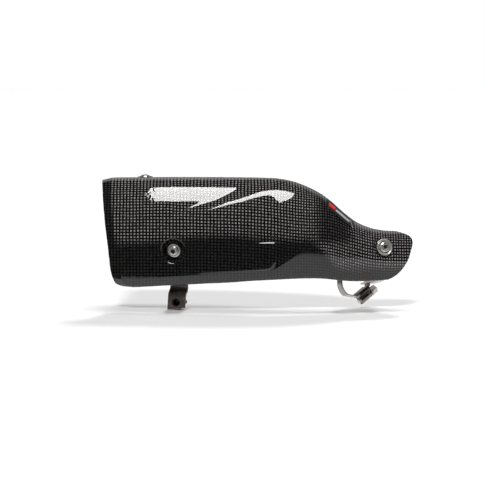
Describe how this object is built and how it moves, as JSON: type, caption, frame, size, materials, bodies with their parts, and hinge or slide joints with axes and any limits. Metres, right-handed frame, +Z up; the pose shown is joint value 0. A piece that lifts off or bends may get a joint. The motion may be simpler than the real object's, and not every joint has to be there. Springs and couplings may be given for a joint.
{
  "type": "motorcycle exhaust heat shield with clamp",
  "caption": "Woven carbon cover for a motorcycle muffler and header pipe, with rubber-mounted bolts, steel brackets and a hinged worm-drive pipe clamp.",
  "frame": {"origin": "centre of the whole part's bounding box", "axes": "+X from the wide rear end to the narrow front end, -Y outward from the motorcycle (the side that shows), +Z up as fitted"},
  "size_m": [0.3128, 0.0966, 0.1334],
  "materials": {
    "carbon_clearcoat": "plain-weave carbon under a gloss clear coat",
    "badge_film": "satin black badge with red and grey blocks, no lettering",
    "stainless_fastener": "machined stainless, light turning marks",
    "stainless_washer": "turned stainless",
    "plain_steel": "plain zinc-flake steel",
    "mount_rubber": "matt black silicone rubber",
    "heat_tinted_steel": "heat-tinted brown-black steel",
    "dark_nut_steel": "black oxide",
    "bracket_steel": "pressed stainless, faint straw tint",
    "clamp_steel": "rolled stainless strip, polished",
    "clamp_screw_steel": "bright stainless"
  },
  "bodies": {
    "shield": {"badge_plate": "badge_film", "carbon_shell": "carbon_clearcoat", "front_bolt": "stainless_fastener", "front_bracket": "bracket_steel", "front_bracket_nut": "plain_steel", "front_cup_washer": "stainless_washer", "front_grommet": "mount_rubber", "front_sleeve": "plain_steel", "rear_bracket": "heat_tinted_steel", "rear_bracket_nut": "heat_tinted_steel", "rear_side_bolt": "stainless_fastener", "rear_side_grommet": "mount_rubber", "rear_side_sleeve": "plain_steel", "rear_tab_nut": "dark_nut_steel", "top_bolt": "stainless_fastener", "top_cup_washer": "stainless_washer", "top_grommet": "mount_rubber", "top_spacer": "plain_steel"},
    "clamp": {"clamp_band": "clamp_steel", "clamp_housing": "clamp_steel"},
    "worm": {"clamp_screw": "clamp_screw_steel"}
  },
  "joints": [
    {"name": "clamp_swing", "type": "hinge", "parent": "shield", "child": "clamp", "pos_m": [0.11167, -0.00049, -0.04157], "axis": [0.3795, -0.8987, 0.2197], "range_deg": [-10, 10]},
    {"name": "clamp_screw_turn", "type": "hinge", "parent": "clamp", "child": "worm", "pos_m": [0.10905, -0.00498, -0.05542], "axis": [0.716, 0.4356, 0.5455], "continuous": true}
  ]
}
